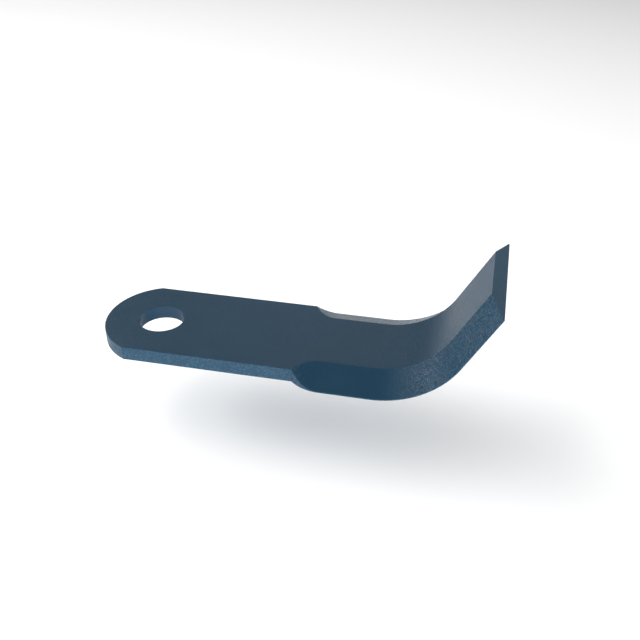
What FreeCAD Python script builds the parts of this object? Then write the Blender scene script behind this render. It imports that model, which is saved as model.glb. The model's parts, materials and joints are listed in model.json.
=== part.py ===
import FreeCAD, Part
import math
import os

Vector = FreeCAD.Vector

# Rotary mower blade, forged and bent from one piece of flat steel bar.
#
# Frame: the origin is where the axis of the bolt hole meets the flat underside,
# +X runs along the shank towards the tip, and +Z points up through the hole.
# All lengths are in millimetres and the bend angle is in degrees.

# Bar that the blade is made from
shank_width = 40.0
thickness = 5.2

# Bolted end, whose crown is how far its arc stands out past its two corners
bolt_hole_diameter = 16.5
hole_to_end = 20.2
end_crown = 13.0
edge_break = 0.1

# Shoulders, where each long side flares out from the shank to its cutting edge
hole_to_shoulder = 53.5
edge_overhang = 4.0
flare_radius = 14.5

# Bevels that thin both long sides from the upper face down to the cutting edges
bevel_width = 10.6
edge_land = 0.4
runout_radius = 14.0

# Upward bend, and the straight tip past it
shoulder_to_bend = 26.8
bend_inner_radius = 28.0
bend_angle = 61.0
tip_length = 22.6

# Values that follow from the driving dimensions
hole_radius = bolt_hole_diameter / 2
half_shank = shank_width / 2
half_blade = half_shank + edge_overhang
half_face = half_blade - bevel_width
end_corner = end_crown - hole_to_end
bend_start = hole_to_shoulder + shoulder_to_bend
bevel_drop = thickness - edge_land
bevel_angle = math.atan2(bevel_drop, bevel_width)

# How far cutting bodies reach past what they cut, and how near counts as the same place
clearance = thickness
tolerance = 1e-4


def straight(start, end):
    return Part.LineSegment(start, end).toShape()


def arc(start, middle, end):
    return Part.Arc(start, middle, end).toShape()


def face_within(edges):
    return Part.Face(Part.Wire(edges))


def flare(side):
    """Start, middle and end of the arc that leads one side of the shank out to its edge.

    The arc leaves the side at an angle and runs into the cutting edge without a corner.
    """
    sweep = math.acos(1 - edge_overhang / flare_radius)
    centre_x = hole_to_shoulder + flare_radius * math.sin(sweep)
    centre_y = half_blade - flare_radius
    points = []
    for angle in (sweep, sweep / 2, 0):
        x = centre_x - flare_radius * math.sin(angle)
        y = centre_y + flare_radius * math.cos(angle)
        points.append(Vector(x, side * y, 0))
    return points


def is_shank_outline(edge):
    """True for the level edges round the end and along the sides of the shank."""
    first, last = edge.Vertexes
    level = abs(first.Z - last.Z) < tolerance
    from_end_corner = abs(min(first.X, last.X) - end_corner) < tolerance
    return level and from_end_corner


def flat_blank():
    """Bar at its full thickness, from the rounded end to the start of the bend.

    The edges round the rounded end and along the sides of the shank are broken.
    """
    near = flare(-1)
    far = flare(1)
    near_corner = Vector(end_corner, -half_shank, 0)
    far_corner = Vector(end_corner, half_shank, 0)
    near_end = Vector(bend_start, -half_blade, 0)
    far_end = Vector(bend_start, half_blade, 0)
    outline = [
        arc(far_corner, Vector(-hole_to_end, 0, 0), near_corner),
        straight(near_corner, near[0]),
        arc(*near),
        straight(near[-1], near_end),
        straight(near_end, far_end),
        straight(far_end, far[-1]),
        arc(*reversed(far)),
        straight(far[0], far_corner),
    ]
    bar = face_within(outline).extrude(Vector(0, 0, thickness))
    return bar.makeChamfer(edge_break, [edge for edge in bar.Edges if is_shank_outline(edge)])


def bevel_cutter():
    """Body that takes the bevel off the far side, with a round run-out at the shoulder.

    Its profile stands square to the bevel and is extruded along the bevel's slope, so
    the run-out is a cylinder that is tangent to the bevel, as a grinding wheel leaves
    it. That cylinder comes out through the upper edge of the shank at the shoulder.
    """
    down_slope = Vector(0, math.cos(bevel_angle), -math.sin(bevel_angle))
    off_bevel = Vector(0, math.sin(bevel_angle), math.cos(bevel_angle))
    corner_height = (half_shank - half_face) * math.sin(bevel_angle)
    runout_length = math.sqrt(corner_height * (2 * runout_radius - corner_height))
    tangent_x = hole_to_shoulder + runout_length
    wheel_x = tangent_x - runout_radius
    end_x = bend_start + clearance
    top = runout_radius + thickness
    origin = Vector(0, half_face, thickness) - down_slope * clearance

    def profile_point(x, height):
        return origin + Vector(x, 0, 0) + off_bevel * height

    corners = [
        profile_point(wheel_x, runout_radius),
        profile_point(wheel_x, top),
        profile_point(end_x, top),
        profile_point(end_x, 0),
        profile_point(tangent_x, 0),
    ]
    on_arc = profile_point(
        tangent_x - runout_radius * math.sin(math.pi / 4),
        runout_radius - runout_radius * math.cos(math.pi / 4),
    )
    edges = [straight(start, end) for start, end in zip(corners, corners[1:])]
    edges.append(arc(corners[-1], on_arc, corners[0]))
    slope_length = math.hypot(bevel_width, bevel_drop) + 2 * clearance
    return face_within(edges).extrude(down_slope * slope_length)


def blade_section():
    """Section of the bevelled blade, square to it at the start of the bend."""
    far_side = [
        (half_blade, 0),
        (half_blade, edge_land),
        (half_face, thickness),
    ]
    near_side = [(-y, z) for y, z in reversed(far_side)]
    corners = [Vector(bend_start, y, z) for y, z in far_side + near_side]
    return Part.Face(Part.makePolygon(corners + corners[:1]))


def bent_tip():
    """Blade's section carried round the bend, then straight on to the square-cut end."""
    section = blade_section()
    centre = Vector(bend_start, 0, thickness + bend_inner_radius)
    axis = Vector(0, -1, 0)
    bend = section.revolve(centre, axis, bend_angle)
    turned = section.rotated(centre, axis, bend_angle)
    angle = math.radians(bend_angle)
    along_tip = Vector(math.cos(angle), 0, math.sin(angle))
    return bend.fuse(turned.extrude(along_tip * tip_length))


def bolt_hole():
    """Body that cuts the bolt hole, which is punched downwards and eased at its upper rim."""
    rim_start = Vector(0, 0, thickness - edge_break)
    rim = Part.makeCone(hole_radius, hole_radius + edge_break, edge_break, rim_start)
    return Part.makeCylinder(hole_radius, thickness).fuse(rim)


def mower_blade():
    far_cutter = bevel_cutter()
    near_cutter = far_cutter.mirror(Vector(0, 0, 0), Vector(0, 1, 0))
    shank = flat_blank().cut([far_cutter, near_cutter, bolt_hole()])
    blade = shank.fuse(bent_tip()).removeSplitter()
    return blade.Solids[0]


os.makedirs("parts", exist_ok=True)
mower_blade().exportStep("parts/mower_blade.step")
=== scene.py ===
import json
import math

import bpy
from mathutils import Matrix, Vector

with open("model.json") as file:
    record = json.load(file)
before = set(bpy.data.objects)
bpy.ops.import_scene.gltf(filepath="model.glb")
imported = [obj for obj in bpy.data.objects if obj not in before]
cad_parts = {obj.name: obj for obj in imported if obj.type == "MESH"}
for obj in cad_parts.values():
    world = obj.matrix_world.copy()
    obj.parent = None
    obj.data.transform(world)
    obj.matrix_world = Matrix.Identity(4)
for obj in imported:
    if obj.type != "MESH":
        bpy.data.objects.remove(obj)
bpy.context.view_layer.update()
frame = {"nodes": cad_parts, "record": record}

MM = 0.001
WHITE = (1, 1, 1, 1)

# Camera, aimed at a point on the blade's centre plane, with its angles in degrees
view_azimuth = 12.19
view_elevation = 33.86
view_distance = 295.6 * MM
aim_point = Vector((59.04, 0, 12.80)) * MM
sensor_width = 36.0
lens_length = 47.81
nearest_seen = 10 * MM
farthest_seen = 50.0

# White floor, set below the blade as the shadow shows, with a faint glow of its own
floor_drop = 33 * MM
floor_width = 16.0
floor_shade = 0.95
floor_glow = 0.10

# Painted light on the floor: its colour keeps its shade out to bright_reach from a spot in front of the
# blade, as if lit there, and dims to dim_shade at dim_reach as painted falloff of light; from there it
# turns into the grey of the backdrop by far_reach
bright_spot = Vector((-0.286, -0.861, -floor_drop))
bright_reach = 1.005
dim_reach = 1.66
dim_shade = 0.483
far_reach = 2.2
backdrop_glow = 0.69

# Glow of the room at the horizon and overhead, and how high a direction's Z is overhead
room_glow = 0.58
ceiling_glow = 0.05
ceiling_height = 0.8

# Softboxes: azimuth from +X and elevation in degrees, width in metres, and brightness
softbox_distance = 3.0
blade_lights = {
    "front_softbox": (290, 12, 1.8, 6.1),
    "left_softbox": (165, 41, 2.4, 0.95),
    "low_left_softbox": (160, 20, 0.9, 2.3),
    "back_left_softbox": (140, 36, 1.5, 2.6),
    "back_softbox": (100, 26, 1.8, 0.54),
    "high_back_softbox": (100, 52, 1.6, 0.83),
    "right_softbox": (15, 14, 1.8, 2.3),
    "back_right_softbox": (62, 26, 1.2, 0.6),
}
floor_lights = {
    "left_floor_lamp": (184, 35, 4.2, 2.63),
    "overhead_floor_lamp": (0, 90, 9.8, 0.77),
}

# Blade's finish: a dark blue coat, partly matte and partly glossy, with light flecks
coat_shade = (0.0278, 0.0835, 0.1455)
fleck_shade = (0.056, 0.128, 0.202)
coat_roughness = 0.13
gloss_share = 0.42
grain_height = 0.13 * MM
level_face_grain = 0.9

# Noises in the finish: size of their features, detail and seed
grain_noise = (0.45 * MM, 1, 1)
fleck_noise = (0.6 * MM, 1, 2)
mottle_noise = (12 * MM, 3, 3)
patch_noise = (0.8 * MM, 1, 5)

# Stretch of a noise that counts, and what it becomes: how light the flecks are, how much
# the mottling scales the colour, and the gloss share of the patches on grainy faces
fleck_range = (0.46, 0.72, 0, 1)
mottle_range = (0.3, 0.7, 0.95, 1.05)
patch_range = (0.35, 0.65, 0.12, 0.72)

# Grainy faces lean sideways and are steep, and they stop short of the bolt hole's wall
sideways_range = (0.25, 0.35, 0, 1)
steep_range = (0.90, 0.80, 0, 1)
bolt_hole = next(mount for mount in frame["record"]["mounts"] if mount["name"] == "bolt_hole")
bore_radius = bolt_hole["dims"]["r_mm"] * MM
past_bore_range = (bore_radius + 0.1 * MM, bore_radius + 0.3 * MM, 0, 1)


def node_of(tree, kind, **settings):
    """New node of this kind, with its settings made."""
    node = tree.nodes.new(kind)
    for name, value in settings.items():
        setattr(node, name, value)
    return node


def noise_of(tree, place, size, detail, seed):
    """Noise with features of the given size, over the place it is read at."""
    noise = node_of(tree, "ShaderNodeTexNoise", noise_dimensions="4D")
    noise.inputs["Scale"].default_value = 1 / size
    noise.inputs["Detail"].default_value = detail
    noise.inputs["W"].default_value = seed
    tree.links.new(place, noise.inputs["Vector"])
    return noise.outputs["Fac"]


def ranged(tree, value, low, high, start, end):
    """Value carried from the range low to high onto start to end."""
    node = node_of(tree, "ShaderNodeMapRange")
    for name, number in zip(("From Min", "From Max", "To Min", "To Max"), (low, high, start, end)):
        node.inputs[name].default_value = number
    tree.links.new(value, node.inputs["Value"])
    return node.outputs["Result"]


def multiplied(tree, first, second):
    """Product of two values."""
    node = node_of(tree, "ShaderNodeMath", operation="MULTIPLY")
    tree.links.new(first, node.inputs[0])
    tree.links.new(second, node.inputs[1])
    return node.outputs[0]


def mixed_colour(tree, factor, first, second):
    """Colour that goes from first to second as the factor goes from 0 to 1."""
    node = node_of(tree, "ShaderNodeMix", data_type="RGBA")
    tree.links.new(factor, node.inputs["Factor"])
    sockets = [given for given in node.inputs if given.type == "RGBA"]
    for socket, colour in zip(sockets, (first, second)):
        socket.default_value = (*colour, 1)
    return next(given for given in node.outputs if given.type == "RGBA")


def mixed_value(tree, factor, number, value):
    """Value that goes from a plain number to another value as the factor goes from 0 to 1."""
    node = node_of(tree, "ShaderNodeMix", data_type="FLOAT")
    tree.links.new(factor, node.inputs["Factor"])
    _, first, second = [given for given in node.inputs if given.type == "VALUE"]
    first.default_value = number
    tree.links.new(value, second)
    return next(given for given in node.outputs if given.type == "VALUE")


def mixed_shader(tree, first, second):
    """Mix of two shader nodes, whose factor is still to be set."""
    node = node_of(tree, "ShaderNodeMixShader")
    tree.links.new(first.outputs[0], node.inputs[1])
    tree.links.new(second.outputs[0], node.inputs[2])
    return node


def white_light(tree, kind, strength=0):
    """White Emission or Background node, with its strength where that is one number."""
    node = node_of(tree, kind)
    node.inputs["Color"].default_value = WHITE
    node.inputs["Strength"].default_value = strength
    return node


def new_material(name):
    """Material of this name and its emptied node tree."""
    material = bpy.data.materials.new(name)
    material.use_nodes = True
    material.node_tree.nodes.clear()
    return material, material.node_tree


def grainy_faces(tree, place):
    """One on the cut sides and the bent part of the bevels, zero on level faces and in the bolt hole."""
    link = tree.links.new
    geometry = node_of(tree, "ShaderNodeNewGeometry")
    normal = node_of(tree, "ShaderNodeSeparateXYZ")
    sideways = node_of(tree, "ShaderNodeMath", operation="ABSOLUTE")
    link(geometry.outputs["True Normal"], normal.inputs[0])
    link(normal.outputs["Y"], sideways.inputs[0])

    # Distance from the axis of the bolt hole, which is the frame's Z axis
    level = node_of(tree, "ShaderNodeVectorMath", operation="MULTIPLY")
    level.inputs[1].default_value = (1, 1, 0)
    distance = node_of(tree, "ShaderNodeVectorMath", operation="LENGTH")
    link(place, level.inputs[0])
    link(level.outputs[0], distance.inputs[0])

    beside = ranged(tree, sideways.outputs[0], *sideways_range)
    steep = ranged(tree, normal.outputs["Z"], *steep_range)
    past_bore = ranged(tree, distance.outputs["Value"], *past_bore_range)
    return multiplied(tree, multiplied(tree, beside, steep), past_bore)


def blade_material():
    """Coat of the blade: its colour, its grain, and how matte and glossy share it out."""
    material, tree = new_material("blade_finish")
    link = tree.links.new
    place = node_of(tree, "ShaderNodeTexCoord").outputs["Object"]
    grainy = grainy_faces(tree, place)

    # Colour, with flecks on the grainy faces and mottling all over
    flecks = ranged(tree, noise_of(tree, place, *fleck_noise), *fleck_range)
    mottle = ranged(tree, noise_of(tree, place, *mottle_noise), *mottle_range)
    colour = node_of(tree, "ShaderNodeVectorMath", operation="SCALE")
    link(mixed_colour(tree, multiplied(tree, flecks, grainy), coat_shade, fleck_shade), colour.inputs[0])
    link(mottle, colour.inputs["Scale"])

    # Grain, a little weaker on the level faces
    bump = node_of(tree, "ShaderNodeBump")
    bump.inputs["Distance"].default_value = grain_height
    link(noise_of(tree, place, *grain_noise), bump.inputs["Height"])
    link(ranged(tree, grainy, 0, 1, level_face_grain, 1), bump.inputs["Strength"])

    # Matte and glossy parts, shared evenly on level faces and in patches on grainy ones
    matte = node_of(tree, "ShaderNodeBsdfDiffuse")
    gloss = node_of(tree, "ShaderNodeBsdfPrincipled")
    gloss.inputs["Roughness"].default_value = coat_roughness
    link(colour.outputs[0], matte.inputs["Color"])
    link(colour.outputs[0], gloss.inputs["Base Color"])
    link(bump.outputs["Normal"], matte.inputs["Normal"])
    link(bump.outputs["Normal"], gloss.inputs["Normal"])
    patches = ranged(tree, noise_of(tree, place, *patch_noise), *patch_range)
    coat = mixed_shader(tree, matte, gloss)
    link(mixed_value(tree, grainy, gloss_share, patches), coat.inputs["Fac"])

    out = node_of(tree, "ShaderNodeOutputMaterial")
    link(coat.outputs[0], out.inputs["Surface"])
    return material


def floor_material():
    """White with painted light: it dims with distance from the bright spot as painted falloff of light,
    and ends in the backdrop's grey.
    """
    material, tree = new_material("floor_white")
    link = tree.links.new
    place = node_of(tree, "ShaderNodeNewGeometry")
    distance = node_of(tree, "ShaderNodeVectorMath", operation="DISTANCE")
    distance.inputs[1].default_value = bright_spot
    link(place.outputs["Position"], distance.inputs[0])
    away = distance.outputs["Value"]

    diffuse = node_of(tree, "ShaderNodeBsdfDiffuse")
    # Painted falloff of light: the floor's colour darkens with distance from the bright spot
    link(ranged(tree, away, bright_reach, dim_reach, floor_shade, dim_shade), diffuse.inputs["Color"])
    near = node_of(tree, "ShaderNodeAddShader")
    link(diffuse.outputs[0], near.inputs[0])
    link(white_light(tree, "ShaderNodeEmission", floor_glow).outputs[0], near.inputs[1])

    surface = mixed_shader(tree, near, white_light(tree, "ShaderNodeEmission", backdrop_glow))
    link(ranged(tree, away, dim_reach, far_reach, 0, 1), surface.inputs["Fac"])
    out = node_of(tree, "ShaderNodeOutputMaterial")
    link(surface.outputs[0], out.inputs["Surface"])
    return material


def add_floor():
    """Square floor centred under the aim point."""
    half = floor_width / 2
    mesh = bpy.data.meshes.new("floor")
    corners = [(-half, -half, 0), (half, -half, 0), (half, half, 0), (-half, half, 0)]
    mesh.from_pydata(corners, [], [(0, 1, 2, 3)])
    mesh.materials.append(floor_material())
    floor = bpy.data.objects.new("floor", mesh)
    floor.location = (aim_point.x, 0, -floor_drop)
    bpy.context.scene.collection.objects.link(floor)
    return floor


def finish_blade():
    """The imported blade, with its finish put on."""
    blade = frame["nodes"]["mower_blade"]
    blade.data.materials.clear()
    blade.data.materials.append(blade_material())
    return blade


def set_world():
    """Room that glows at the horizon and is darker overhead, seen by the camera as an even backdrop."""
    world = bpy.data.worlds.new("studio")
    world.use_nodes = True
    bpy.context.scene.world = world
    tree = world.node_tree
    tree.nodes.clear()
    link = tree.links.new
    coords = node_of(tree, "ShaderNodeTexCoord")
    direction = node_of(tree, "ShaderNodeSeparateXYZ")
    link(coords.outputs["Generated"], direction.inputs[0])

    room = white_light(tree, "ShaderNodeBackground")
    glow = ranged(tree, direction.outputs["Z"], 0, ceiling_height, room_glow, ceiling_glow)
    link(glow, room.inputs["Strength"])
    backdrop = white_light(tree, "ShaderNodeBackground", backdrop_glow)
    seen = mixed_shader(tree, room, backdrop)
    path = node_of(tree, "ShaderNodeLightPath")
    link(path.outputs["Is Camera Ray"], seen.inputs["Fac"])
    out = node_of(tree, "ShaderNodeOutputWorld")
    link(seen.outputs[0], out.inputs["Surface"])


def direction_to(azimuth, elevation):
    """Unit vector towards an azimuth from +X and an elevation, both in degrees."""
    turn = math.radians(azimuth)
    rise = math.radians(elevation)
    return Vector((
        math.cos(turn) * math.cos(rise),
        math.sin(turn) * math.cos(rise),
        math.sin(rise),
    ))


def add_camera():
    """Camera at the view's angles, where azimuth 0 looks along +Y."""
    back = direction_to(view_azimuth - 90, view_elevation)
    data = bpy.data.cameras.new("photo_camera")
    data.sensor_width = sensor_width
    data.lens = lens_length
    data.clip_start = nearest_seen
    data.clip_end = farthest_seen
    camera = bpy.data.objects.new("photo_camera", data)
    camera.location = aim_point + back * view_distance
    camera.rotation_mode = "QUATERNION"
    camera.rotation_quaternion = (-back).to_track_quat("-Z", "Y")
    bpy.context.scene.collection.objects.link(camera)
    bpy.context.scene.camera = camera


def add_softbox(name, azimuth, elevation, width, brightness):
    """Round softbox that faces the blade, as bright to look at whatever its width."""
    towards = direction_to(azimuth, elevation)
    data = bpy.data.lights.new(name, "AREA")
    data.shape = "DISK"
    data.size = width
    data.energy = brightness * (math.pi * width / 2) ** 2
    light = bpy.data.objects.new(name, data)
    light.location = Vector((aim_point.x, 0, 0)) + towards * softbox_distance
    light.rotation_mode = "QUATERNION"
    light.rotation_quaternion = towards.to_track_quat("Z", "Y")
    bpy.context.scene.collection.objects.link(light)
    return light


def add_lights(placings, lit_object):
    """Softboxes that light one object alone, so blade and floor each get their own level."""
    lit = bpy.data.collections.new("lit_" + lit_object.name)
    lit.objects.link(lit_object)
    for name, placing in placings.items():
        light = add_softbox(name, *placing)
        light.light_linking.receiver_collection = lit


add_camera()
set_world()
add_lights(blade_lights, finish_blade())
add_lights(floor_lights, add_floor())
bpy.context.scene.view_settings.view_transform = "Standard"
